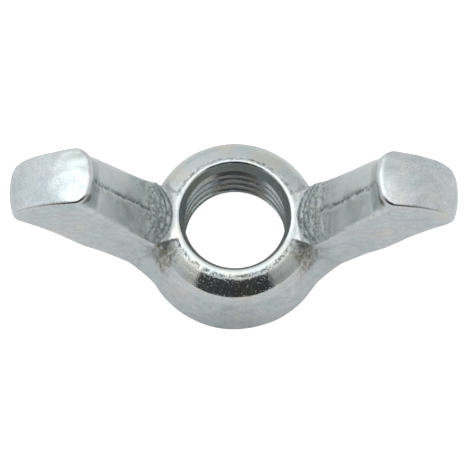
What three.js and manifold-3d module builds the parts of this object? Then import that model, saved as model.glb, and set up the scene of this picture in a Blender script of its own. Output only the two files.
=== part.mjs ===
// A cold-forged wing nut with an M10 x 1.5 right-hand thread.
// The boss, its two raised wings and the tapped thread are one piece of steel.
// Millimetres. +Z runs up the thread axis from the bearing face to the wing tips,
// +X runs along the wings, and the origin is the centre of the bearing face.
import * as THREE from "three";
import { mergeVertices } from "three/addons/utils/BufferGeometryUtils.js";
import Module from "manifold-3d";

// Thread: ISO metric coarse, a 60 degree form cut from the tapping bore.
const THREAD_DIAMETER = 10;
const THREAD_PITCH = 1.5;
const BORE_DIAMETER = 8.5;
const ROOT_FLAT = THREAD_PITCH / 8;
const THREAD_RADIUS = THREAD_DIAMETER / 2;
const BORE_RADIUS = BORE_DIAMETER / 2;

// Boss: a tapered round body with a domed shoulder and a narrow lip round the bore.
const BOSS_HEIGHT = 7.2;
const BASE_RADIUS = 8.1;
const BEARING_RADIUS = 7.3;
const SHOULDER_RADIUS = 6.95;
const SHOULDER_HEIGHT = 5.8;
const SHOULDER_BULGE = 0.35;
const LIP_RADIUS = 5.15;
const TOP_COUNTERSINK_RADIUS = 4.95;
const TOP_COUNTERSINK_DEPTH = 0.9;
const BASE_COUNTERSINK_RADIUS = 5.25;
const BASE_COUNTERSINK_DEPTH = 1;

// Wings: flat lugs that lean outward, with D-shaped long edges and a convex end face.
const WING_SPAN = 37;
const WING_HEIGHT = 18.8;
const TIP_THICKNESS = 4.1;
const ROOT_THICKNESS = 4.7;
const ROOT_FLARE = 1.3;
const FLARE_START = 9.4;
const LONG_EDGE_ROUND = 0.65;
const END_FACE_ROUND = 0.2;
const HEEL_HEIGHT = 0.15;
const INNER_EDGE_ANGLE = THREE.MathUtils.degToRad(59.5);
const INNER_EDGE_FOOT = new THREE.Vector2(7.4, 9.15);
const INNER_EDGE_LENGTH = 8.7;
const OUTER_EDGE_ANGLE = THREE.MathUtils.degToRad(56.5);
const OUTER_EDGE_FOOT = new THREE.Vector2(10.3, 0.6);
const OUTER_EDGE_LENGTH = 12.8;

// Fineness of the faceted surfaces.
const BOSS_SEGMENTS = 72;
const TURN_SEGMENTS = 36;
const OUTLINE_STEPS = 6;
const EDGE_LAYERS = 8;

const ZINC = new THREE.MeshStandardMaterial({
  color: 0xb4babd,
  roughness: 0.38,
  metalness: 1,
});

const wasm = await Module();
wasm.setup();

// Turns a closed three.js geometry into a solid that can be joined or cut.
function solidOf(geometry) {
  const bare = new THREE.BufferGeometry();
  bare.setAttribute("position", geometry.getAttribute("position"));
  bare.setIndex(geometry.getIndex());
  const merged = mergeVertices(bare, 1e-4);
  const mesh = new wasm.Mesh({
    numProp: 3,
    vertProperties: merged.getAttribute("position").array,
    triVerts: new Uint32Array(merged.getIndex().array),
  });
  return new wasm.Manifold(mesh);
}

// A solid from a flat list of coordinates and a list of triangles.
function solidFrom(points, faces) {
  const geometry = new THREE.BufferGeometry();
  geometry.setAttribute("position", new THREE.Float32BufferAttribute(points, 3));
  geometry.setIndex(faces);
  return solidOf(geometry);
}

// Turns a finished solid back into a three.js geometry.
function geometryOf(solid) {
  const mesh = solid.getMesh();
  const geometry = new THREE.BufferGeometry();
  geometry.setAttribute("position", new THREE.BufferAttribute(mesh.vertProperties, 3));
  geometry.setIndex(new THREE.BufferAttribute(mesh.triVerts, 1));
  geometry.computeVertexNormals();
  return geometry;
}

// Spins a profile of (radius, height) points, from axis to axis, about the thread axis.
function turned(profile, segments) {
  const lathe = new THREE.LatheGeometry(profile, segments);
  return solidOf(lathe.rotateX(Math.PI / 2));
}

// The solid boss, before it is bored.
function boss() {
  const edge = BASE_RADIUS - BEARING_RADIUS;
  const side = new THREE.Path();
  side.moveTo(0, 0);
  side.lineTo(BEARING_RADIUS, 0);
  side.quadraticCurveTo(BASE_RADIUS, 0, BASE_RADIUS, edge);
  side.lineTo(SHOULDER_RADIUS, SHOULDER_HEIGHT);
  side.quadraticCurveTo(
    SHOULDER_RADIUS - SHOULDER_BULGE, BOSS_HEIGHT - SHOULDER_BULGE,
    LIP_RADIUS, BOSS_HEIGHT,
  );
  side.lineTo(0, BOSS_HEIGHT);
  return turned(side.getPoints(OUTLINE_STEPS), BOSS_SEGMENTS);
}

// The plain bore with a countersink at each end.
function boreCutter() {
  const beyond = 1;
  const topFlare = (beyond * (TOP_COUNTERSINK_RADIUS - BORE_RADIUS)) / TOP_COUNTERSINK_DEPTH;
  const baseFlare = (beyond * (BASE_COUNTERSINK_RADIUS - BORE_RADIUS)) / BASE_COUNTERSINK_DEPTH;
  const profile = [
    new THREE.Vector2(0, -beyond),
    new THREE.Vector2(BASE_COUNTERSINK_RADIUS + baseFlare, -beyond),
    new THREE.Vector2(BORE_RADIUS, BASE_COUNTERSINK_DEPTH),
    new THREE.Vector2(BORE_RADIUS, BOSS_HEIGHT - TOP_COUNTERSINK_DEPTH),
    new THREE.Vector2(TOP_COUNTERSINK_RADIUS + topFlare, BOSS_HEIGHT + beyond),
    new THREE.Vector2(0, BOSS_HEIGHT + beyond),
  ];
  return turned(profile, TURN_SEGMENTS);
}

// One right-hand helical groove of the 60 degree thread form, as a closed four-sided tube.
function threadCutter() {
  const inner = BORE_RADIUS - 0.1;
  const halfMouth = ROOT_FLAT / 2 + (THREAD_RADIUS - inner) * Math.tan(Math.PI / 6);
  const section = [
    [inner, -halfMouth],
    [THREAD_RADIUS, -ROOT_FLAT / 2],
    [THREAD_RADIUS, ROOT_FLAT / 2],
    [inner, halfMouth],
  ];
  const turns = BOSS_HEIGHT / THREAD_PITCH + 2;
  const steps = Math.round(turns * TURN_SEGMENTS);
  const points = [];
  const faces = [];
  for (let i = 0; i <= steps; i++) {
    const angle = (2 * Math.PI * i) / TURN_SEGMENTS;
    const rise = (THREAD_PITCH * i) / TURN_SEGMENTS - THREAD_PITCH;
    for (const [radius, offset] of section) {
      points.push(radius * Math.cos(angle), radius * Math.sin(angle), rise + offset);
    }
  }
  for (let i = 0; i < steps; i++) {
    for (let k = 0; k < 4; k++) {
      const a = 4 * i + k;
      const b = 4 * i + ((k + 1) % 4);
      faces.push(a, b + 4, b, a, a + 4, b + 4);
    }
  }
  const last = 4 * steps;
  faces.push(0, 1, 2, 0, 2, 3);
  faces.push(last, last + 2, last + 1, last, last + 3, last + 2);
  return solidFrom(points, faces);
}

// A point at a distance up an edge line that starts at a foot point.
function along(foot, angle, distance) {
  return new THREE.Vector2(
    foot.x + distance * Math.cos(angle),
    foot.y + distance * Math.sin(angle),
  );
}

// The outline of the wing on the +X side, as x outward and y up the thread axis.
function wingOutline() {
  const outerTop = along(OUTER_EDGE_FOOT, OUTER_EDGE_ANGLE, OUTER_EDGE_LENGTH);
  const innerTop = along(INNER_EDGE_FOOT, INNER_EDGE_ANGLE, INNER_EDGE_LENGTH);
  const reach = WING_SPAN / 2;
  const rootX = LIP_RADIUS - 0.15;
  const outline = new THREE.Path();
  outline.moveTo(rootX, HEEL_HEIGHT);
  outline.lineTo(BASE_RADIUS + 0.6, HEEL_HEIGHT);
  outline.quadraticCurveTo(OUTER_EDGE_FOOT.x - 0.3, HEEL_HEIGHT, OUTER_EDGE_FOOT.x, OUTER_EDGE_FOOT.y);
  for (let i = 1; i <= OUTLINE_STEPS; i++) {
    const point = along(OUTER_EDGE_FOOT, OUTER_EDGE_ANGLE, (OUTER_EDGE_LENGTH * i) / OUTLINE_STEPS);
    outline.lineTo(point.x, point.y);
  }
  outline.quadraticCurveTo(reach + 0.35, outerTop.y + 1.1, reach - 0.15, outerTop.y + 2.1);
  outline.quadraticCurveTo(reach - 1.7, WING_HEIGHT - 1.4, innerTop.x + 1.75, WING_HEIGHT - 0.15);
  outline.quadraticCurveTo(innerTop.x + 0.6, WING_HEIGHT + 0.2, innerTop.x, innerTop.y);
  outline.lineTo(INNER_EDGE_FOOT.x, INNER_EDGE_FOOT.y);
  outline.quadraticCurveTo(INNER_EDGE_FOOT.x - 0.9, BOSS_HEIGHT + 0.5, rootX, BOSS_HEIGHT - 0.1);
  return outline.getPoints(OUTLINE_STEPS);
}

// The wing is thickest where it leaves the boss and thins towards its tip.
function halfThickness(x) {
  const share = THREE.MathUtils.clamp((x - LIP_RADIUS) / (WING_SPAN / 2 - LIP_RADIUS), 0, 1);
  const flare = Math.max(0, FLARE_START - x) / (FLARE_START - LIP_RADIUS);
  return (THREE.MathUtils.lerp(ROOT_THICKNESS, TIP_THICKNESS, share) + ROOT_FLARE * flare * flare) / 2;
}

// The way inward from each outline point, as long as the rounding of the edge there. The outline
// runs up the outer edge at 56 degrees, across the end face at 90 to 170, and down the inner edge.
function insets(outline) {
  return outline.map((point, i) => {
    const before = outline.at(i - 1);
    const after = outline[(i + 1) % outline.length];
    const run = after.clone().sub(before).normalize();
    const heading = THREE.MathUtils.radToDeg(run.angle());
    const pastOuter = THREE.MathUtils.smoothstep(heading, 60, 105);
    const pastEnd = THREE.MathUtils.smoothstep(heading, 165, 235);
    const round = THREE.MathUtils.lerp(LONG_EDGE_ROUND, END_FACE_ROUND, pastOuter - pastEnd);
    return new THREE.Vector2(-run.y, run.x).multiplyScalar(round);
  });
}

// One wing: layers of the outline across its thickness, drawn in where they near a broad face.
function wing() {
  const outline = wingOutline();
  const inward = insets(outline);
  const count = outline.length;
  const points = [];
  const faces = [];
  for (let j = 0; j <= EDGE_LAYERS; j++) {
    const lean = (Math.PI * j) / EDGE_LAYERS;
    outline.forEach((point, i) => {
      const drawn = point.clone().addScaledVector(inward[i], 1 - Math.sin(lean));
      points.push(drawn.x, -halfThickness(drawn.x) * Math.cos(lean), drawn.y);
    });
  }
  for (let j = 0; j < EDGE_LAYERS; j++) {
    for (let i = 0; i < count; i++) {
      const a = j * count + i;
      const b = j * count + ((i + 1) % count);
      faces.push(a, b + count, b, a, a + count, b + count);
    }
  }
  const back = EDGE_LAYERS * count;
  for (const [a, b, c] of THREE.ShapeUtils.triangulateShape(outline, [])) {
    faces.push(a, b, c, back + a, back + c, back + b);
  }
  return solidFrom(points, faces);
}

// The whole forging: boss and wings joined, then bored, countersunk and tapped.
function forging() {
  const right = wing();
  const left = right.rotate([0, 0, 180]);
  const blank = boss().add(right).add(left);
  return blank.subtract(boreCutter()).subtract(threadCutter());
}

const wingNut = new THREE.Group();
const body = new THREE.Mesh(geometryOf(forging()), ZINC);
body.name = "wing_nut_body";
wingNut.add(body);

export default wingNut;
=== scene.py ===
"""A forged, zinc-plated wing nut with an M10 right-hand thread, on a pale studio floor."""
import math

import bpy
import numpy as np
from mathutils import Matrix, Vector, noise


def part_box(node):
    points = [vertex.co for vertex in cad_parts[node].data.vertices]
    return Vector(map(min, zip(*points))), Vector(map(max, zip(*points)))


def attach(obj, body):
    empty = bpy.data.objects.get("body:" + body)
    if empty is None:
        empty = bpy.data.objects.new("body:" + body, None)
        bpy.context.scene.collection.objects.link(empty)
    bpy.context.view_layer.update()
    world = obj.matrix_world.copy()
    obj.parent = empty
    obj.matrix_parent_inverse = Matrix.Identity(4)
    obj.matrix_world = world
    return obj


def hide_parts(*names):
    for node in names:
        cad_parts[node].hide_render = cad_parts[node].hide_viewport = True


bl_info = {
    "name": "Forged wing nut",
    "version": (1, 0, 0),
    "blender": (4, 5, 0),
    "location": "3D View > Sidebar > Wing nut",
    "description": "Builds a zinc-plated forged wing nut and its studio",
    "category": "Mesh",
}

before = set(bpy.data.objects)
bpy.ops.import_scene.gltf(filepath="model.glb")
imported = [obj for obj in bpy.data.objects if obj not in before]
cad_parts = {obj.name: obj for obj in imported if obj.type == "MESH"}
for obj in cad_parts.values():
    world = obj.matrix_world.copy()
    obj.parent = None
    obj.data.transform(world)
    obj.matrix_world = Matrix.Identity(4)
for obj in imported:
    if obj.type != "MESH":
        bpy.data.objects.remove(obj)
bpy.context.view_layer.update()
NUT_LOW, NUT_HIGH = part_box("wing_nut_body")

MM = 0.001
WING_SPAN_MM = (NUT_HIGH[0] - NUT_LOW[0]) / MM
BASE_WIDTH_MM = (NUT_HIGH[1] - NUT_LOW[1]) / MM
OVERALL_HEIGHT_MM = (NUT_HIGH[2] - NUT_LOW[2]) / MM
LEFT_FOR_DRILL = 0.12


# ---------------------------------------------------------------- sizes and colours


class NutSizes(bpy.types.PropertyGroup):
    """Sizes of the forging: the CAMERA unit shows a plain number as millimetres"""

    boss_height: bpy.props.FloatProperty(
        name="Boss height", description="Bearing face to lip",
        default=7.2, unit="CAMERA")
    base_radius: bpy.props.FloatProperty(
        name="Base radius", description="Widest radius of the boss",
        default=BASE_WIDTH_MM / 2 - 0.07, unit="CAMERA")
    shoulder_radius: bpy.props.FloatProperty(
        name="Shoulder radius", description="Where the dome meets the tapered side",
        default=7.08, unit="CAMERA")
    shoulder_height: bpy.props.FloatProperty(
        name="Shoulder height", description="Height of the dome's lower edge",
        default=5.87, unit="CAMERA")
    lip_radius: bpy.props.FloatProperty(
        name="Lip radius", description="Outside of the narrow lip round the bore",
        default=5.24, unit="CAMERA")
    dome_radius: bpy.props.FloatProperty(
        name="Dome radius", description="Radius of the dome's section",
        default=5.0, unit="CAMERA")
    bore_radius: bpy.props.FloatProperty(
        name="Bore radius", description="Radius of the tapping bore",
        default=4.32, unit="CAMERA")
    thread_radius: bpy.props.FloatProperty(
        name="Thread radius", description="Radius at the root of the thread",
        default=5.0, unit="CAMERA")
    pitch: bpy.props.FloatProperty(
        name="Pitch", description="Rise of the thread in one turn",
        default=1.5, unit="CAMERA")
    mouth_radius: bpy.props.FloatProperty(
        name="Mouth radius", description="Top of the upper countersink",
        default=4.77, unit="CAMERA")
    mouth_offset: bpy.props.FloatProperty(
        name="Mouth offset", description="How far the upper countersink sits behind the bore",
        default=0.14, unit="CAMERA")
    mouth_depth: bpy.props.FloatProperty(
        name="Mouth depth", description="Depth of the upper countersink",
        default=0.95, unit="CAMERA")
    foot_radius: bpy.props.FloatProperty(
        name="Foot radius", description="Bottom of the lower countersink",
        default=5.0, unit="CAMERA")
    span: bpy.props.FloatProperty(
        name="Span", description="Tip to tip over the wings",
        default=WING_SPAN_MM, unit="CAMERA")
    wing_offset: bpy.props.FloatProperty(
        name="Wing offset", description="How far the wings sit behind the boss's middle",
        default=0.12, unit="CAMERA")
    tip_lean: bpy.props.FloatProperty(
        name="Tip lean", description="How far each tip leans toward the front",
        default=0.08, unit="CAMERA")
    left_extra: bpy.props.FloatProperty(
        name="Left extra", description="How much longer the left wing came out of the die",
        default=0.27, unit="CAMERA")
    overall_height: bpy.props.FloatProperty(
        name="Overall height", description="Bearing face to wing tips",
        default=OVERALL_HEIGHT_MM, unit="CAMERA")
    root_thickness: bpy.props.FloatProperty(
        name="Root thickness", description="Thickness of a wing at the boss",
        default=5.4, unit="CAMERA")
    tip_thickness: bpy.props.FloatProperty(
        name="Tip thickness", description="Thickness of a wing at its tip",
        default=4.35, unit="CAMERA")
    inner_angle: bpy.props.FloatProperty(
        name="Inner edge angle", description="Slope of the edge that faces the bore",
        default=math.radians(59.5), subtype="ANGLE")
    outer_angle: bpy.props.FloatProperty(
        name="Outer edge angle", description="Slope of the edge that faces away",
        default=math.radians(54.7), subtype="ANGLE")
    inner_foot: bpy.props.FloatVectorProperty(
        name="Inner edge foot", description="A point on the inner edge, out and up",
        size=2, default=(7.4, 9.15), unit="CAMERA")
    outer_foot: bpy.props.FloatVectorProperty(
        name="Outer edge foot", description="A point on the outer edge, out and up",
        size=2, default=(12.55, 4.32), unit="CAMERA")
    web_angle: bpy.props.FloatProperty(
        name="Web angle", description="Angle of each side of the web where it meets the lip",
        default=math.radians(22), subtype="ANGLE")
    ramp_angle: bpy.props.FloatProperty(
        name="Ramp angle", description="Slope of the short ramp between lip and inner edge",
        default=math.radians(28), subtype="ANGLE")
    heel_fillet: bpy.props.FloatProperty(
        name="Heel fillet", description="Fillet between the ramp and the inner edge",
        default=1.2, unit="CAMERA")
    tip_wall: bpy.props.FloatProperty(
        name="Tip wall", description="Distance from the axis to the upright wall under each tip",
        default=11.42, unit="CAMERA")
    end_radius: bpy.props.FloatProperty(
        name="End radius", description="Radius of the convex end face",
        default=9.4, unit="CAMERA")
    root_fillet: bpy.props.FloatProperty(
        name="Root fillet", description="Fillet between a wing and the boss",
        default=1.7, unit="CAMERA")
    grid: bpy.props.FloatProperty(
        name="Grid", description="Spacing of the surface net",
        default=0.14, unit="CAMERA")


class PlateColours(bpy.types.PropertyGroup):
    """Colours of the plating and of the marks in it; some of the marks are painted shade, painted
    highlights and painted reflections
    """

    plate_green: bpy.props.FloatVectorProperty(
        name="Plate green", description="Darkest tint of the plate",
        subtype="COLOR", size=4, min=0, max=1, default=(0.54, 0.635, 0.655, 1))
    plate_blue: bpy.props.FloatVectorProperty(
        name="Plate blue", description="Second tint of the plate",
        subtype="COLOR", size=4, min=0, max=1, default=(0.585, 0.655, 0.69, 1))
    plate_silver: bpy.props.FloatVectorProperty(
        name="Plate silver", description="Middle tint of the plate",
        subtype="COLOR", size=4, min=0, max=1, default=(0.62, 0.675, 0.685, 1))
    plate_lilac: bpy.props.FloatVectorProperty(
        name="Plate lilac", description="Fourth tint of the plate",
        subtype="COLOR", size=4, min=0, max=1, default=(0.645, 0.665, 0.695, 1))
    plate_straw: bpy.props.FloatVectorProperty(
        name="Plate straw", description="Warmest tint of the plate",
        subtype="COLOR", size=4, min=0, max=1, default=(0.675, 0.69, 0.61, 1))
    blue_film: bpy.props.FloatVectorProperty(
        name="Blue film", description="Cold patches of the film on the dome and in the bore",
        subtype="COLOR", size=4, min=0, max=1, default=(0.49, 0.57, 0.60, 1))
    straw_film: bpy.props.FloatVectorProperty(
        name="Straw film", description="Warm patches of the film on the dome and in the bore",
        subtype="COLOR", size=4, min=0, max=1, default=(0.62, 0.61, 0.49, 1))
    # painted sheen: the inner edges and undersides of the wings are lightened to stand for brighter
    # reflections
    sheen_colour: bpy.props.FloatVectorProperty(
        name="Polished", description="Wing edges rubbed bright",
        subtype="COLOR", size=4, min=0, max=1, default=(0.76, 0.80, 0.79, 1))
    # painted shade: the flat top of each web is darkened to stand for the shade on it
    web: bpy.props.FloatVectorProperty(
        name="Web", description="Flat top of the web between lip and wing",
        subtype="COLOR", size=4, min=0, max=1, default=(0.42, 0.47, 0.45, 1))
    # partly painted shade: the ramp at each wing root is darkened for the shade of its wrinkles and
    # the opposite wing; its rougher plate is real
    root: bpy.props.FloatVectorProperty(
        name="Root", description="Ramp at the root of each wing",
        subtype="COLOR", size=4, min=0, max=1, default=(0.48, 0.58, 0.56, 1))
    # painted highlight: the struck flats in front of the lip are lightened to stand for the light
    # they reflect
    sliver: bpy.props.FloatVectorProperty(
        name="Sliver", description="Bright flats in front of the lip",
        subtype="COLOR", size=4, min=0, max=1, default=(0.84, 0.88, 0.87, 1))
    # brown streaks that darken the corner beside each wing root, more on the front
    armpit_brown: bpy.props.FloatVectorProperty(
        name="Stain", description="Brown stains beside the wing roots",
        subtype="COLOR", size=4, min=0, max=1, default=(0.27, 0.25, 0.18, 1))
    # painted shade: the folds and flow creases are darkened to stand for the shade in them
    crease: bpy.props.FloatVectorProperty(
        name="Crease", description="Folds and flow creases",
        subtype="COLOR", size=4, min=0, max=1, default=(0.10, 0.13, 0.125, 1))
    # painted shade and painted reflection: a dark line along the front edge of each end face stands
    # for its shade, and a dark spot at its corner for a dark reflection
    scale: bpy.props.FloatVectorProperty(
        name="Scale", description="Dark scale on the front rim of each end face",
        subtype="COLOR", size=4, min=0, max=1, default=(0.17, 0.145, 0.11, 1))
    seam: bpy.props.FloatVectorProperty(
        name="Seam", description="Seam where the die's halves met",
        subtype="COLOR", size=4, min=0, max=1, default=(0.12, 0.15, 0.15, 1))
    # painted shade: concave places are darkened
    hollow_shade: bpy.props.FloatVectorProperty(
        name="Hollow", description="Dull plate in the hollows",
        subtype="COLOR", size=4, min=0, max=1, default=(0.30, 0.32, 0.32, 1))
    worn_edge: bpy.props.FloatVectorProperty(
        name="Worn edge", description="Bright plate on the corners",
        subtype="COLOR", size=4, min=0, max=1, default=(0.80, 0.82, 0.82, 1))
    scuff: bpy.props.FloatVectorProperty(
        name="Scuff", description="Nicks round the lip",
        subtype="COLOR", size=4, min=0, max=1, default=(0.12, 0.13, 0.12, 1))


class StudioSettings(bpy.types.PropertyGroup):
    """Floor, soft box and lens"""

    floor_colour: bpy.props.FloatVectorProperty(
        name="Floor colour", description="Colour of the floor in the light",
        subtype="COLOR", size=4, min=0, max=1, default=(0.3, 0.3, 0.3, 1))
    box_width: bpy.props.FloatProperty(
        name="Soft box width", description="Width of the soft box",
        default=0.22, unit="LENGTH")
    box_length: bpy.props.FloatProperty(
        name="Soft box length", description="Length of the soft box",
        default=0.3, unit="LENGTH")
    box_power: bpy.props.FloatProperty(
        name="Soft box power", description="Power of the soft box",
        default=0.125, unit="POWER")
    lens: bpy.props.FloatProperty(
        name="Lens", description="Focal length of the camera",
        default=221.4, unit="CAMERA")


# ---------------------------------------------------------------- distance fields


def rounded_cut(a, b, radius):
    """What lies inside both a and b, with the edge between them rounded."""
    outside = np.hypot(np.maximum(a + radius, 0), np.maximum(b + radius, 0))
    return np.minimum(np.maximum(a, b), -radius) + outside


def filleted_join(a, b, radius):
    """What lies inside a or b, with the corner between them filled."""
    inside = np.hypot(np.maximum(radius - a, 0), np.maximum(radius - b, 0))
    return np.maximum(np.minimum(a, b), radius) - inside


def side_of(x, z, through, slope):
    """Distance to the right of a line that runs through a point at an angle, in radians."""
    return (x - through[0]) * math.sin(slope) - (z - through[1]) * math.cos(slope)


def boss_field(s, r, z):
    """The tapered boss with its domed shoulder, solid through the middle."""
    edge = 0.8  # height of the point where the tapered side reaches the base radius
    lean = math.atan2(s.shoulder_height - edge, s.shoulder_radius - s.base_radius)
    side = side_of(r, z, (s.base_radius, edge), lean)
    low = np.array((s.shoulder_radius, s.shoulder_height))
    high = np.array((s.lip_radius, s.boss_height))
    chord = np.linalg.norm(high - low)
    outward = np.array((high[1] - low[1], low[0] - high[0])) / chord
    centre = (low + high) / 2 - outward * math.sqrt(s.dome_radius**2 - chord**2 / 4)
    steepest = math.atan2(low[0] - centre[0], low[1] - centre[1])
    tilt = np.minimum(np.arctan2(r - centre[0], z - centre[1]), steepest)
    dome = (r - centre[0]) * np.sin(tilt) + (z - centre[1]) * np.cos(tilt) - s.dome_radius
    body = rounded_cut(side, dome, 0.35)
    half_lip = 0.28
    crest = s.boss_height - 0.35 * (r - s.lip_radius + half_lip) ** 2
    body = rounded_cut(body, z - np.maximum(crest, s.boss_height - 0.4), 0.08)
    return rounded_cut(body, -z, 0.75)


def wing_field(s, x, y, z):
    """Both wings, each with its flat-topped web into the boss."""
    reach = s.span / 2 + np.where(x < 0, s.left_extra, 0)
    x = np.abs(x)
    share = np.clip((x - s.lip_radius) / (reach - s.lip_radius), 0, 1)
    across = np.abs(y - s.wing_offset * (1 - share) + s.tip_lean * share)
    near_tip = np.clip((z - 15.2) / 2.6, 0, 1)
    roof = 0.02 + 0.035 * across + 0.012 * across**2 + 0.08 * near_tip * across**2
    inner = -side_of(x, z, s.inner_foot, s.inner_angle) + roof
    inner = filleted_join(inner, s.tip_wall - x + roof, 0.35)
    ramp = -side_of(x - 0.16 * across**2, z, (s.lip_radius + 0.05, s.boss_height), s.ramp_angle)
    inner = filleted_join(inner, ramp, s.heel_fillet)
    inner = filleted_join(inner, z - s.boss_height + 0.05, 0.12)
    outer = side_of(x, z, s.outer_foot, s.outer_angle) + 0.1 * across**2
    centre = (reach - s.end_radius + 1.6, 9.15)
    end = np.hypot(x - centre[0], np.maximum(z - centre[1], 0)) - s.end_radius + 0.03 * across**2
    half = (s.root_thickness + (s.tip_thickness - s.root_thickness) * share) / 2
    half = half + 0.3 * np.exp(-share * 9)
    below_lip = np.maximum(s.boss_height - 0.25 - z, 0)
    web = across - x * math.tan(s.web_angle) - 0.9 * below_lip
    broad = rounded_cut(across - half, web, 0.1)
    on_web = np.clip((s.boss_height + 1.2 - z) / 0.8, 0, 1)
    body = rounded_cut(inner, broad, 0.08 + (0.24 + 0.65 * near_tip) * (1 - on_web))
    by_rim = np.clip((s.tip_wall + 1.4 - x) / 1.4, 0, 1)
    by_side = np.clip((x - reach + 2.2) / 1.6, 0, 1) * np.clip((half - 0.4 - across) / 0.9, 0, 1)
    under_end = np.clip((13.6 - z) / 4.5, 0, 1) * (0.35 + 0.65 * np.clip((z - 6) / 5, 0, 1))
    far_corner = np.clip((16.2 - z) / 3, 0, 1) * np.clip((y - 0.4) / 1.2, 0, 1)
    profile = rounded_cut(outer, end, 1.7)
    softness = 0.22 + 0.45 * (by_rim + by_side) + np.maximum(0.85 * under_end, 1.1 * far_corner)
    body = rounded_cut(body, profile, softness)
    return rounded_cut(body, -z, 0.15)


def bore_field(s, y, r, z):
    """The bore with its two countersinks, as a space to take away."""
    plain = r - s.bore_radius + LEFT_FOR_DRILL
    slope = math.atan2(s.mouth_radius - s.bore_radius, s.mouth_depth)
    off_centre = s.mouth_offset * y / np.maximum(r, 1)
    top = (r - s.mouth_radius - off_centre) * math.cos(slope) - (z - s.boss_height) * math.sin(slope)
    base = (r - s.foot_radius) * math.cos(math.pi / 4) + z * math.sin(math.pi / 4)
    return np.minimum(plain, np.minimum(top, base))


def forging_field(s, p):
    """The whole forging, bored and countersunk but not yet threaded."""
    x, y, z = p
    r = np.hypot(x, y)
    boss = boss_field(s, r, z)
    wing = wing_field(s, x, y, z)
    low_down = np.clip((5 - z) / 2.5, 0, 1)
    joined = filleted_join(boss, wing, 0.2 + (s.root_fillet - 0.2) * low_down)
    joined = rounded_cut(joined, -z, 0.1)
    return rounded_cut(joined, -bore_field(s, y, r, z), 0.12)


# ---------------------------------------------------------------- surface net


def surface_net(field, low, high, step):
    """Quads on the zero surface of a field, one vertex in each cell that the surface crosses."""
    counts = np.ceil((high - low) / step).astype(int) + 1
    axes = [low[k] + step * np.arange(counts[k]) for k in range(3)]
    grid = np.meshgrid(*axes, indexing="ij", sparse=True)
    value = field([g.astype(np.float32) for g in grid])
    inside = value < 0
    cells = np.array(inside.shape) - 1
    total = np.zeros((*cells, 3), np.float32)
    crossings = np.zeros(cells, np.int32)
    corner_slices = (slice(None, -1), slice(1, None))
    for axis in range(3):
        others = [k for k in range(3) if k != axis]
        for m in (0, 1):
            for n in (0, 1):
                near = [None, None, None]
                near[others[0]] = corner_slices[m]
                near[others[1]] = corner_slices[n]
                far = list(near)
                near[axis], far[axis] = corner_slices
                a, b = value[tuple(near)], value[tuple(far)]
                cross = (a < 0) != (b < 0)
                share = np.where(cross, a / np.where(cross, a - b, 1), 0)
                crossings += cross
                total[..., axis] += share
                total[..., others[0]] += m * cross
                total[..., others[1]] += n * cross
    used = crossings > 0
    number = np.full(cells, -1, np.int64)
    number[used] = np.arange(np.count_nonzero(used))
    offset = total[used] / crossings[used][:, None]
    points = low + step * (np.argwhere(used) + offset)
    quads = []
    for axis in range(3):
        b, c = (axis + 1) % 3, (axis + 2) % 3
        lower = [slice(None)] * 3
        upper = [slice(None)] * 3
        lower[axis], upper[axis] = corner_slices
        for k in (b, c):
            lower[k] = upper[k] = slice(1, -1)
        first, second = inside[tuple(lower)], inside[tuple(upper)]
        for flip, where in ((False, first & ~second), (True, ~first & second)):
            at = np.argwhere(where)
            at[:, b] += 1
            at[:, c] += 1
            ring = []
            for db, dc in ((-1, -1), (0, -1), (0, 0), (-1, 0)):
                cell = at.copy()
                cell[:, b] += db
                cell[:, c] += dc
                ring.append(number[tuple(cell.T)])
            quad = np.stack(ring, axis=1)
            quads.append(quad[:, ::-1] if flip else quad)
    return points, np.concatenate(quads)


def gradient(field, points, reach=0.01):
    """Slope of the field at each point."""
    slope = np.empty_like(points)
    for axis in range(3):
        step = np.zeros(3)
        step[axis] = reach
        ahead = field((points + step).T)
        behind = field((points - step).T)
        slope[:, axis] = (ahead - behind) / (2 * reach)
    return slope


def settle(field, points, rounds=4):
    """Moves points on to the zero surface."""
    for _ in range(rounds):
        slope = gradient(field, points)
        length = np.maximum((slope**2).sum(axis=1), 0.05)
        points = points - slope * (field(points.T) / length)[:, None]
    return points


# ---------------------------------------------------------------- forging marks


def noise_at(points, size, shift=0.0):
    """Smooth noise from -1 to 1, with lumps of a given size, at each point."""
    size = np.asarray(size, float)
    return np.array([noise.noise(p) for p in (points / size + shift).tolist()])


def bump_of(distance, width):
    """One at zero distance, falling smoothly to nothing."""
    return np.exp(-(distance / width) ** 2)


def step_up(value, start, end):
    """Nought below start, one above end, smooth between them."""
    t = np.clip((value - start) / (end - start), 0, 1)
    return t * t * (3 - 2 * t)


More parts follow.
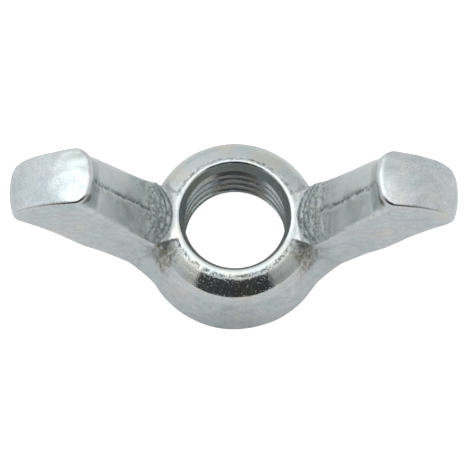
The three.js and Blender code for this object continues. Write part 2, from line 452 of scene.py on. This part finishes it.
def marks_on(s, p, slope):
    """Masks from 0 to 1 that say where each kind of mark lies, from each point's place and normal."""
    x, y, z = p.T
    out, r = np.abs(x), np.hypot(x, y)
    side, up = np.abs(slope[:, 1]), slope[:, 2]
    inward = -slope[:, 0] * np.sign(x)
    flat_top = step_up(up, 0.93, 0.98)
    near_boss = step_up(7.6 - r, 0, 0.4)
    outside = step_up(r, s.mouth_radius + 0.1, s.mouth_radius + 0.3)
    outside = np.where(z > s.boss_height + 0.05, 1, outside) * step_up(z, 0.1, 0.5)
    on_edge = step_up(0.75 - side, 0, 0.25) * step_up(out, 6.5, 7.3) * step_up(17.1 - z, 0, 0.7)
    on_edge = on_edge * np.maximum(step_up(inward, 0.2, 0.5), step_up(-up, 0.05, 0.3))
    wander = s.wing_offset + 0.16 * noise_at(p, 2.6, 3.1) + 0.13 * noise_at(p, 0.6, 7.7)
    seam = on_edge * bump_of(y - wander, 0.16)
    ridge = on_edge * bump_of(y - wander + 0.42, 0.26)
    nose = out - 0.16 * (y - s.wing_offset) ** 2 - s.lip_radius
    on_ramp = step_up(up, 0.2, 0.45) * step_up(z, s.boss_height - 0.1, s.boss_height + 0.05)
    # the ramp at each wing root: rougher and wrinkled, and its colour darkened as painted shade
    root = on_ramp * step_up(nose, -0.02, 0.06) * step_up(3.6 - nose, 0, 2.4)
    angle = np.degrees(np.arctan2(np.abs(y), out))
    # the corner beside each wing root, more on the front: bumped, rougher, and darkened brown in
    # streaks
    armpit = bump_of(angle - 28, 8) * bump_of(r - 6.9, 1.3) * step_up(z, 3.6, 5.4)
    armpit = armpit * step_up(s.boss_height + 0.1 - z, 0, 0.15) * (0.2 + 0.8 * step_up(-y, -2, 1))
    ring = bump_of(r - s.lip_radius - 0.05, 0.13) * step_up(z, 6.4, 6.9) * step_up(angle, 18, 26)
    dome = step_up(angle, 26, 36) * step_up(r, 4.6, 4.8) * step_up(z, 5.6, 6.0) * near_boss
    struck = flat_top * near_boss * step_up(z, 6.9, 7.1) * (1 - root)
    # painted highlight on the flats in front of the lip
    sliver = struck * step_up(r, s.lip_radius, s.lip_radius + 0.2) * step_up(-y, 0.6, 1.4)
    end = step_up(up, 0.02, 0.2) * step_up(0.9 - inward, 0, 0.3) * step_up(out, 10.6, 11.2)
    end = end * step_up(z, 11.5, 12.5)
    # painted sheen on the inner edges and undersides of the wings, above the lip
    painted_sheen = np.where(z > s.boss_height + 0.6, on_edge, 0)
    # folds across the root ramps, bumped in and darkened as painted shade
    wrinkle = np.sin(2 * math.pi * nose / 0.42 + 1.2 * noise_at(p, 0.9, 4.4))
    folds = root * bump_of(nose - 0.3, 0.75) * step_up(wrinkle, 0.1, 0.8)
    # painted shade along the front edge of each end face
    rim = bump_of(side - 0.62, 0.2) * step_up(up, 0.4, 0.6) * step_up(z, 11.8, 13.2)
    rim = rim * step_up(-y, 0, 0.5) * (0.5 + 0.5 * step_up(17.2 - out, 0, 3))
    # painted reflection: a dark spot at the front inner corner of each end face
    dark_reflection_spot = bump_of(np.hypot(np.hypot(out - 12.0, y + 1.75), z - 17.6), 0.55)
    rim = np.maximum(rim, step_up(dark_reflection_spot + 0.35 * noise_at(p, 0.5, 2.2), 0.35, 0.6))
    # painted shade on the flat tops of the webs, mostly on the far side, and on a flat by the front
    # of the mouth
    web = flat_top * step_up(z, 6.9, 7.1) * step_up(r, s.lip_radius, s.lip_radius + 0.15)
    web = web * step_up(y, -1.2, 0.6) * (1 - root)
    web = np.maximum(web, step_up(4.98 - r, 0, 0.12) * step_up(z, 6.95, 7.1) * step_up(-y, 0.5, 2.5))
    return {
        "outside": outside, "seam": seam, "ridge": ridge, "root": root, "armpit": armpit,
        "ring": ring, "dome": np.maximum(dome, struck), "end": end, "painted_sheen": painted_sheen,
        "folds": folds, "rim": rim, "web": web, "sliver": sliver,
    }


def mark_height(s, p, marks):
    """How far the marks of forging and handling raise each point, in millimetres."""
    height = 0.035 * noise_at(p, 3.4) + 0.014 * noise_at(p, 1.2, 5.3)
    height += marks["seam"] * (-0.1 - 0.08 * noise_at(p, 0.55, 1.7))
    height += marks["ridge"] * (0.05 + 0.04 * noise_at(p, 0.8, 2.9))
    crease = noise_at(p, (0.34, 1.1, 0.6), 9.1)
    height += 0.06 * marks["root"] * crease - 0.045 * marks["folds"]
    height += marks["armpit"] * 0.07 * noise_at(p, (0.35, 0.4, 1.6), 6.2)
    nick = np.maximum(noise_at(p, 0.36, 8.6) - 0.1, 0)
    height -= marks["ring"] * (0.015 + 0.06 * nick)
    height += 0.045 * marks["end"] * noise_at(p, (1.7, 0.9, 1.7), 3.3)
    return height * marks["outside"]


# ---------------------------------------------------------------- thread


def thread_groove(s, steps_per_turn=120):
    """A closed helical ridge in the shape of the thread groove, to be cut out of the bore."""
    root_flat = s.pitch / 8
    inner = s.bore_radius - 0.15
    slope = math.tan(math.pi / 6)
    mouth = root_flat / 2 + (s.thread_radius - s.bore_radius) * slope
    crest = [(inner, -mouth - 0.16), (s.bore_radius + 0.02, -mouth - 0.035)]
    for share in (0.1, 0.2, 0.5, 0.85, 0.95):
        radius = s.bore_radius + share * (s.thread_radius - s.bore_radius)
        crest.append((radius, (radius - s.bore_radius) * slope - mouth))
    crest.append((s.thread_radius, 0.03 - root_flat / 2))
    section = crest + [(radius, -offset) for radius, offset in reversed(crest)]
    start, stop = -0.6, s.boss_height - 0.75
    steps = round((stop - start) / s.pitch * steps_per_turn)
    run_out = 0.45 * steps_per_turn
    points = []
    for i in range(steps + 1):
        angle = 2 * math.pi * i / steps_per_turn
        rise = start + s.pitch * i / steps_per_turn
        depth = min(1, (steps - i) / run_out)
        for radius, offset in section:
            reach = s.bore_radius - 0.3 + (radius - s.bore_radius + 0.3) * depth
            points.append((reach * math.cos(angle), reach * math.sin(angle), rise + offset))
    n = len(section)
    faces = [tuple(range(n)), tuple(range(n * steps + n - 1, n * steps - 1, -1))]
    for i in range(steps):
        for k in range(n):
            a = n * i + k
            b = n * i + (k + 1) % n
            faces.append((a, a + n, b + n, b))
    return points, faces


def drill(s, sides=240):
    """A long prism with so many sides that it cuts a smooth tapping bore."""
    points = []
    for height in (-1.0, s.boss_height + 1.0):
        for i in range(sides):
            angle = 2 * math.pi * i / sides
            points.append((s.bore_radius * math.cos(angle), s.bore_radius * math.sin(angle), height))
    faces = [tuple(range(sides - 1, -1, -1)), tuple(range(sides, 2 * sides))]
    for i in range(sides):
        after = (i + 1) % sides
        faces.append((i, after, after + sides, i + sides))
    return points, faces


# ---------------------------------------------------------------- pieces


def new_object(name, points, faces):
    """A mesh object from millimetre points, in metres."""
    mesh = bpy.data.meshes.new(name)
    mesh.from_pydata([tuple(p) for p in np.asarray(points) * MM], [], faces)
    mesh.update()
    piece = bpy.data.objects.new(name, mesh)
    bpy.context.collection.objects.link(piece)
    return piece


class BuildNut(bpy.types.Operator):
    """Builds the forging, cuts its thread and plates it"""

    bl_idname = "wingnut.build_nut"
    bl_label = "Build the nut"

    def execute(self, context):
        s = context.scene.wing_nut_sizes

        def field(p):
            return forging_field(s, p)

        margin = 3 * s.grid + s.left_extra
        low = np.array((-s.span / 2, -s.base_radius, 0)) - margin
        high = np.array((s.span / 2, s.base_radius, s.overall_height)) + margin
        points, quads = surface_net(field, low, high, s.grid)
        points = settle(field, points)
        slope = gradient(field, points)
        slope /= np.linalg.norm(slope, axis=1)[:, None]
        height = mark_height(s, points, marks_on(s, points, slope))
        points = points + slope * height[:, None]
        nut = new_object("forged_wing_nut", points, quads.tolist())
        cutters = [new_object("drill", *drill(s)), new_object("thread_groove", *thread_groove(s))]
        for cutter in cutters:
            cut = nut.modifiers.new("Cut with " + cutter.name, "BOOLEAN")
            cut.operation = "DIFFERENCE"
            cut.solver = "MANIFOLD"
            cut.object = cutter
        graph = context.evaluated_depsgraph_get()
        cut_mesh = bpy.data.meshes.new_from_object(nut.evaluated_get(graph))
        nut.modifiers.clear()
        for cutter in cutters:
            bpy.data.objects.remove(cutter)
        if len(cut_mesh.loops) != 2 * len(cut_mesh.edges) or len(cut_mesh.polygons) < len(quads) / 2:
            raise RuntimeError("the cutters did not leave a closed nut")
        nut.data = cut_mesh
        paint_marks(s, nut.data)
        nut.data.materials.clear()
        nut.data.materials.append(zinc_plate(context.scene.wing_nut_colours))
        nut.data.shade_smooth()
        nut.data.set_sharp_from_angle(angle=math.radians(32))
        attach(nut, "root")
        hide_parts("wing_nut_body")
        print("nut", len(points), "net points", len(nut.data.polygons), "faces")
        return {"FINISHED"}


def paint_marks(s, mesh):
    """Stores the marks as attributes, for the plating to darken, lighten, roughen and polish; some of
    the darkening and lightening is painted shade, highlight and reflection.
    """
    flat = np.empty(3 * len(mesh.vertices))
    mesh.vertices.foreach_get("co", flat)
    p = flat.reshape(-1, 3) / MM

    def field(q):
        return forging_field(s, q)

    slope = gradient(field, p)
    slope /= np.maximum(np.linalg.norm(slope, axis=1), 0.1)[:, None]
    marks = marks_on(s, p, slope)
    wide = 0.3  # how far round a point its bend is measured
    bend = -6 * field(p.T)
    for axis in range(3):
        step = np.zeros(3)
        step[axis] = wide
        bend += field((p + step).T) + field((p - step).T)
    marks["edge"] = step_up(bend / wide**2, 0.35, 1.6)
    # painted shade in concave places
    marks["hollow_shade"] = step_up(-bend / wide**2, 0.3, 1.4)
    r = np.hypot(p[:, 0], p[:, 1])
    under_lip = step_up(s.boss_height + 0.02 - p[:, 2], 0, 0.1)
    marks["bore"] = step_up(s.mouth_radius + 0.12 - r, 0, 0.1) * under_lip
    del marks["outside"]
    for name in marks:
        layer = mesh.attributes.new(name, "FLOAT", "POINT")
        layer.data.foreach_set("value", marks[name])


# ---------------------------------------------------------------- finishes


def node(tree, kind, inputs=None, **settings):
    """Adds a shader node, with its settings, and its inputs as values or links."""
    made = tree.nodes.new("ShaderNode" + kind)
    for name, value in settings.items():
        setattr(made, name, value)
    for name, value in (inputs or {}).items():
        if isinstance(value, bpy.types.NodeSocket):
            tree.links.new(value, made.inputs[name])
        else:
            made.inputs[name].default_value = value
    return made


def calc(tree, operation, *values):
    """A Math node's result."""
    return node(tree, "Math", dict(enumerate(values)), operation=operation).outputs[0]


def blend(tree, factor, a, b, mode="MIX"):
    """Two colours mixed."""
    mixed = node(tree, "Mix", {0: factor, 6: a, 7: b}, data_type="RGBA", blend_type=mode)
    return mixed.outputs[2]


def spread(tree, value, start, end, low, high, shape="LINEAR"):
    """A value moved from one range to another, and kept inside it."""
    inputs = {"Value": value, "From Min": start, "From Max": end, "To Min": low, "To Max": high}
    return node(tree, "MapRange", inputs, interpolation_type=shape).outputs["Result"]


def noise_of(tree, per_mm, detail=3.0, stretch=(1, 1, 1), rough=0.5):
    """Noise with a given number of lumps in a millimetre."""
    place = node(tree, "TexCoord").outputs["Object"]
    scale = tuple(1000 * k for k in stretch)
    place = node(tree, "VectorMath", {0: place, 1: scale}, operation="MULTIPLY").outputs[0]
    inputs = {"Vector": place, "Scale": per_mm, "Detail": detail, "Roughness": rough}
    return node(tree, "TexNoise", inputs).outputs["Fac"]


def painted(tree, name):
    """A mark's mask, from the mesh."""
    return node(tree, "Attribute", attribute_name=name).outputs["Fac"]


def new_group(name, inputs, outputs):
    """A node group with its sockets, and its input and output nodes."""
    group = bpy.data.node_groups.new(name, "ShaderNodeTree")
    for label, default in inputs:
        socket = group.interface.new_socket(label, in_out="INPUT", socket_type="NodeSocketFloat")
        socket.default_value = default
    for label, kind in outputs:
        group.interface.new_socket(label, in_out="OUTPUT", socket_type=kind)
    entry = group.nodes.new("NodeGroupInput").outputs
    result = group.nodes.new("NodeGroupOutput").inputs
    return group, entry, result


def plate_tint(c):
    """The faint blues, greens and straw yellows of a clear passivated zinc film."""
    group, entry, result = new_group(
        "Plate tint", [("Lumps per mm", 0.3), ("Warmth", 0.0)], [("Color", "NodeSocketColor")])
    cloud = noise_of(group, entry["Lumps per mm"], 4.0, rough=0.6)
    speck = noise_of(group, 3.2, 2.0)
    both = calc(group, "MULTIPLY_ADD", speck, 0.3, calc(group, "MULTIPLY", cloud, 0.7))
    both = calc(group, "MULTIPLY_ADD", entry["Warmth"], 0.12, both)
    ramp = node(group, "ValToRGB", {"Fac": both})
    stops = ramp.color_ramp.elements
    stops[0].position, stops[0].color = 0.32, c.plate_green
    stops[1].position, stops[1].color = 0.68, c.plate_straw
    for position, colour in ((0.42, c.plate_blue), (0.50, c.plate_silver), (0.57, c.plate_lilac)):
        stops.new(position).color = colour
    blotch = spread(group, noise_of(group, 1.3, 3.0), 0.3, 0.7, 0.91, 1.08)
    frost = spread(group, noise_of(group, 6.5, 3.0, rough=0.7), 0.3, 0.7, 0.84, 1.14)
    shade = calc(group, "MULTIPLY", blotch, frost)
    group.links.new(blend(group, 1.0, ramp.outputs["Color"], shade, "MULTIPLY"), result["Color"])
    return group


def grain():
    """The fine orange-peel and pin-pricks of plating over a scaled forging."""
    group, entry, result = new_group(
        "Grain", [("Depth", 0.004), ("Pits", 0.5)], [("Height", "NodeSocketFloat")])
    peel = noise_of(group, 2.4, 3.0)
    fine = noise_of(group, 7.5, 4.0, rough=0.65)
    surface = calc(group, "MULTIPLY_ADD", fine, 0.7, peel)
    pits = spread(group, noise_of(group, 6.8, 2.0), 0.60, 0.74, 0, 1)
    pits = calc(group, "MULTIPLY", pits, entry["Pits"])
    surface = calc(group, "MULTIPLY_ADD", pits, -1.7, surface)
    group.links.new(calc(group, "MULTIPLY", surface, entry["Depth"]), result["Height"])
    return group


def flow_marks():
    """The short creases where metal flowed round the root of a wing, with their mask for the painted
    shade in them.
    """
    group, entry, result = new_group(
        "Flow marks", [("Mask", 1.0), ("Depth", 0.03)],
        [("Height", "NodeSocketFloat"), ("Mask", "NodeSocketFloat")])
    lines = noise_of(group, 1.3, 4.0, stretch=(1.7, 0.75, 0.9), rough=0.65)
    off_line = calc(group, "ABSOLUTE", calc(group, "SUBTRACT", lines, 0.5))
    spots = noise_of(group, 3.2, 4.0, stretch=(1.4, 0.8, 0.8), rough=0.75)
    hairlines = spread(group, off_line, 0.006, 0.026, 1, 0)
    cracks = calc(group, "MAXIMUM", hairlines, spread(group, spots, 0.53, 0.66, 0, 1))
    cracks = calc(group, "MULTIPLY", cracks, entry["Mask"])
    sunk = calc(group, "MULTIPLY", entry["Depth"], -1.0)
    group.links.new(calc(group, "MULTIPLY", cracks, sunk), result["Height"])
    group.links.new(cracks, result["Mask"])
    return group


def turning_lines():
    """The fine rings a countersink and a tap leave, running round the bore."""
    group, entry, result = new_group(
        "Turning lines", [("Depth", 0.005)], [("Height", "NodeSocketFloat")])
    rings = noise_of(group, 1.0, 3.0, stretch=(0.22, 0.22, 7.0), rough=0.6)
    group.links.new(calc(group, "MULTIPLY", rings, entry["Depth"]), result["Height"])
    return group


def scratches():
    """Hair scratches from handling and tumbling, in two directions."""
    group, entry, result = new_group(
        "Scratches", [("Depth", 0.002)], [("Height", "NodeSocketFloat"), ("Mask", "NodeSocketFloat")])
    first = spread(group, noise_of(group, 1.6, 2.0, stretch=(0.25, 5.0, 0.4)), 0.64, 0.70, 0, 1)
    second = spread(group, noise_of(group, 1.3, 2.0, stretch=(4.0, 0.3, 2.5)), 0.66, 0.72, 0, 1)
    both = calc(group, "MAXIMUM", first, second)
    sunk = calc(group, "MULTIPLY", entry["Depth"], -1.0)
    group.links.new(calc(group, "MULTIPLY", both, sunk), result["Height"])
    group.links.new(both, result["Mask"])
    return group


def placed(tree, group, inputs=None):
    """One use of a node group."""
    made = tree.nodes.new("ShaderNodeGroup")
    made.node_tree = group
    for name, value in (inputs or {}).items():
        if isinstance(value, bpy.types.NodeSocket):
            tree.links.new(value, made.inputs[name])
        else:
            made.inputs[name].default_value = value
    return made.outputs


def new_metal(name):
    """A bare metallic material, its tree and its shader."""
    material = bpy.data.materials.new(name)
    material.use_nodes = True
    tree = material.node_tree
    shader = tree.nodes["Principled BSDF"]
    shader.inputs["Metallic"].default_value = 1
    return material, tree, shader


def zinc_plate(c):
    """Bright zinc plate over forged steel, with painted shade, painted highlights and painted
    reflections in its colour.
    """
    material, tree, shader = new_metal("zinc_plate")
    root, seam, ridge = painted(tree, "root"), painted(tree, "seam"), painted(tree, "ridge")
    armpit, ring, dome = painted(tree, "armpit"), painted(tree, "ring"), painted(tree, "dome")
    edge, hollow_shade, bore = painted(tree, "edge"), painted(tree, "hollow_shade"), painted(tree, "bore")
    end, painted_sheen, folds = painted(tree, "end"), painted(tree, "painted_sheen"), painted(tree, "folds")
    rim, web, sliver = painted(tree, "rim"), painted(tree, "web"), painted(tree, "sliver")
    struck = calc(tree, "MAXIMUM", dome, end)
    worked = calc(tree, "MAXIMUM", root, armpit)
    tint = placed(tree, plate_tint(c), {"Lumps per mm": 0.32, "Warmth": ridge})["Color"]
    skin = placed(tree, grain(), {"Depth": spread(tree, struck, 0, 1, 0.010, 0.0055), "Pits": dome})
    turned = placed(tree, turning_lines(), {"Depth": calc(tree, "MULTIPLY", bore, 0.03)})
    faint_ridge = calc(tree, "MULTIPLY", ridge, 0.45)
    creased = calc(tree, "MAXIMUM", calc(tree, "MAXIMUM", worked, ring), faint_ridge)
    flow = placed(tree, flow_marks(), {"Mask": creased, "Depth": 0.04})
    hair = placed(tree, scratches(), {"Depth": 0.002})

    film = spread(tree, noise_of(tree, 0.45, 3.0), 0.42, 0.58, 0, 1)
    film = blend(tree, film, c.blue_film, c.straw_film)
    colour = blend(tree, calc(tree, "MULTIPLY", calc(tree, "MAXIMUM", dome, bore), 0.55), tint, film)
    streaks = spread(tree, noise_of(tree, 2.2, 4.0, stretch=(1.8, 1.4, 0.4)), 0.44, 0.58, 0.3, 2.0)
    # brown streaks in the corners beside the wing roots
    armpit_streaks = calc(tree, "MINIMUM", calc(tree, "MULTIPLY", armpit, streaks), 0.9)
    ragged = spread(tree, noise_of(tree, 3.5, 3.0), 0.4, 0.6, 0.15, 1.0)
    nicks = spread(tree, noise_of(tree, 3.0, 3.0), 0.5, 0.62, 0, 1)
    layers = (
        # painted sheen on the wing edges
        (painted_sheen, 0.5, c.sheen_colour),
        # painted shade on the webs
        (web, 0.6, c.web),
        # painted shade on the root ramps
        (root, 0.4, c.root),
        # painted highlight on the flats in front of the lip
        (sliver, 0.8, c.sliver),
        # brown streaks beside the wing roots
        (armpit_streaks, 1.0, c.armpit_brown),
        # painted shade in the flow creases and the folds
        (flow["Mask"], 0.68, c.crease),
        (folds, 0.6, c.crease),
        # painted shade and painted dark reflection on the front rims of the end faces
        (rim, 0.88, c.scale),
        (seam, ragged, c.seam),
        # painted shade in the hollows
        (hollow_shade, 0.35, c.hollow_shade),
        (edge, 0.25, c.worn_edge),
        (calc(tree, "MULTIPLY", ring, nicks), 0.6, c.scuff),
    )
    for mask, strength, over in layers:
        colour = blend(tree, calc(tree, "MULTIPLY", mask, strength), colour, over)
    tree.links.new(colour, shader.inputs["Base Color"])

    rough = spread(tree, noise_of(tree, 0.5, 4.0), 0.3, 0.7, 0.34, 0.50)
    changes = (
        (dome, -0.27),
        (end, -0.13),
        (edge, -0.08),
        (worked, 0.12),
        (bore, -0.22),
        (hair["Mask"], 0.08),
    )
    for mask, change in changes:
        rough = calc(tree, "MULTIPLY_ADD", mask, change, rough)
    tree.links.new(rough, shader.inputs["Roughness"])

    height = calc(tree, "ADD", skin["Height"], calc(tree, "ADD", flow["Height"], hair["Height"]))
    height = calc(tree, "ADD", height, turned["Height"])
    bump = node(tree, "Bump", {"Height": height, "Distance": MM})
    tree.links.new(bump.outputs["Normal"], shader.inputs["Normal"])
    return material


# ---------------------------------------------------------------- studio


class BuildStudio(bpy.types.Operator):
    """Sets up the floor, the lights and the camera"""

    bl_idname = "wingnut.build_studio"
    bl_label = "Build the studio"

    def execute(self, context):
        settings = context.scene.wing_nut_studio
        build_floor(settings)
        build_sky(context.scene)
        build_key_light(settings)
        build_camera(context.scene, settings)
        context.scene.view_settings.view_transform = "Standard"
        return {"FINISHED"}


def build_floor(settings):
    """A wide pale floor under the bearing face, with a painted shadow: its glow, as other surfaces
    see it, is darker close to the nut.
    """
    half = 3.0
    mesh = bpy.data.meshes.new("floor")
    corners = [(-half, -half, 0), (half, -half, 0), (half, half, 0), (-half, half, 0)]
    mesh.from_pydata(corners, [], [(0, 1, 2, 3)])
    floor = bpy.data.objects.new("floor", mesh)
    bpy.context.collection.objects.link(floor)
    material = bpy.data.materials.new("pale_floor")
    material.use_nodes = True
    tree = material.node_tree
    shader = tree.nodes["Principled BSDF"]
    shader.inputs["Base Color"].default_value = settings.floor_colour
    shader.inputs["Roughness"].default_value = 0.9
    shader.inputs["Emission Color"].default_value = (1, 1, 1, 1)
    oval = (1.5, 0.68, 1)
    place = node(tree, "TexCoord").outputs["Object"]
    place = node(tree, "VectorMath", {0: place, 1: oval}, operation="MULTIPLY").outputs[0]
    away = node(tree, "VectorMath", {0: place}, operation="LENGTH").outputs["Value"]
    # painted shadow: the glow falls off close to the nut, in an oval
    shade = spread(tree, away, 0.003, 0.011, 0.1, 0.505)
    seen = node(tree, "LightPath").outputs["Is Camera Ray"]
    tree.links.new(spread(tree, seen, 0, 1, shade, 1.0), shader.inputs["Emission Strength"])
    floor.data.materials.append(material)


def build_sky(scene):
    """A light tent: pale walls, a brighter roof, and a dark open front."""
    world = bpy.data.worlds.new("light_tent")
    scene.world = world
    world.use_nodes = True
    tree = world.node_tree
    background = tree.nodes["Background"]
    background.inputs["Color"].default_value = (1, 1, 1, 1)

    def soft(value, start, end, low, high):
        return spread(tree, value, start, end, low, high, shape="SMOOTHSTEP")

    place = node(tree, "TexCoord").outputs["Generated"]
    x, y, z = node(tree, "SeparateXYZ", {0: place}).outputs
    sideways = calc(tree, "ABSOLUTE", x)
    toward = soft(y, -0.62, 0.05, 0.5, 0.88)
    behind = soft(y, 0.35, 0.95, 1, 0.9)
    left = soft(x, -0.5, 0.5, 1.1, 0.84)
    roof = soft(z, 0.6, 0.97, 1, 1.75)
    wall = calc(tree, "MULTIPLY", toward, behind)
    wall = calc(tree, "MULTIPLY", wall, calc(tree, "MULTIPLY", left, roof))
    leaning = calc(tree, "MULTIPLY_ADD", z, 0.125, calc(tree, "MULTIPLY", y, -0.765))
    front = soft(calc(tree, "SUBTRACT", leaning, sideways), -0.02, 0.02, 0, 1)
    low = soft(calc(tree, "MULTIPLY_ADD", sideways, 0.08, z), 0.91, 0.94, 1, 0)
    opening = calc(tree, "MULTIPLY", front, low)
    light = calc(tree, "MULTIPLY", wall, calc(tree, "MULTIPLY_ADD", opening, -0.895, 1.0))
    seen = node(tree, "LightPath").outputs["Is Camera Ray"]
    mixed = node(tree, "Mix", {"Factor": seen, "A": light, "B": 1.0}).outputs["Result"]
    tree.links.new(mixed, background.inputs["Strength"])


def build_key_light(settings):
    """A soft box up to the left."""
    data = bpy.data.lights.new("left_softbox", "AREA")
    data.shape = "RECTANGLE"
    data.size = settings.box_width
    data.size_y = settings.box_length
    data.energy = settings.box_power
    light = bpy.data.objects.new("left_softbox", data)
    distance = 0.6
    aim = Vector((-0.5, 0.28, 0.82)).normalized()
    light.location = aim * distance
    light.rotation_euler = aim.to_track_quat("Z", "Y").to_euler()
    light.visible_camera = False
    bpy.context.collection.objects.link(light)


def build_camera(scene, settings):
    """A long lens, looking steeply down the thread from the front."""
    data = bpy.data.cameras.new("camera")
    camera = bpy.data.objects.new("camera", data)
    bpy.context.collection.objects.link(camera)
    elevation, azimuth = math.radians(73), math.radians(0.4)
    back = Vector((
        math.sin(azimuth) * math.cos(elevation),
        -math.cos(azimuth) * math.cos(elevation),
        math.sin(elevation),
    ))
    target = Vector((0, 0, 1.983 * MM))
    distance = 250 * MM
    camera.location = target + back * distance
    camera.rotation_mode = "QUATERNION"
    camera.rotation_quaternion = (-back).to_track_quat("-Z", "Y")
    data.sensor_width = 36
    data.lens = settings.lens
    data.clip_start = 0.01
    data.clip_end = 20
    scene.camera = camera


# ---------------------------------------------------------------- panel


class WingNutPanel(bpy.types.Panel):
    """Sizes, colours and build steps of the wing nut"""

    bl_idname = "VIEW3D_PT_wing_nut"
    bl_label = "Wing nut"
    bl_space_type = "VIEW_3D"
    bl_region_type = "UI"
    bl_category = "Wing nut"

    def draw(self, context):
        layout = self.layout
        for name in SETTINGS:
            values = getattr(context.scene, name)
            for label in values.__annotations__:
                layout.prop(values, label)
        layout.operator(BuildNut.bl_idname)
        layout.operator(BuildStudio.bl_idname)


SETTINGS = {
    "wing_nut_sizes": NutSizes,
    "wing_nut_colours": PlateColours,
    "wing_nut_studio": StudioSettings,
}
CLASSES = (*SETTINGS.values(), BuildNut, BuildStudio, WingNutPanel)


def register():
    for cls in CLASSES:
        bpy.utils.register_class(cls)
    for name, kind in SETTINGS.items():
        setattr(bpy.types.Scene, name, bpy.props.PointerProperty(type=kind))


def unregister():
    for name in SETTINGS:
        delattr(bpy.types.Scene, name)
    for cls in reversed(CLASSES):
        bpy.utils.unregister_class(cls)


def main():
    register()
    bpy.ops.wingnut.build_nut()
    bpy.ops.wingnut.build_studio()


if __name__ == "__main__":
    main()
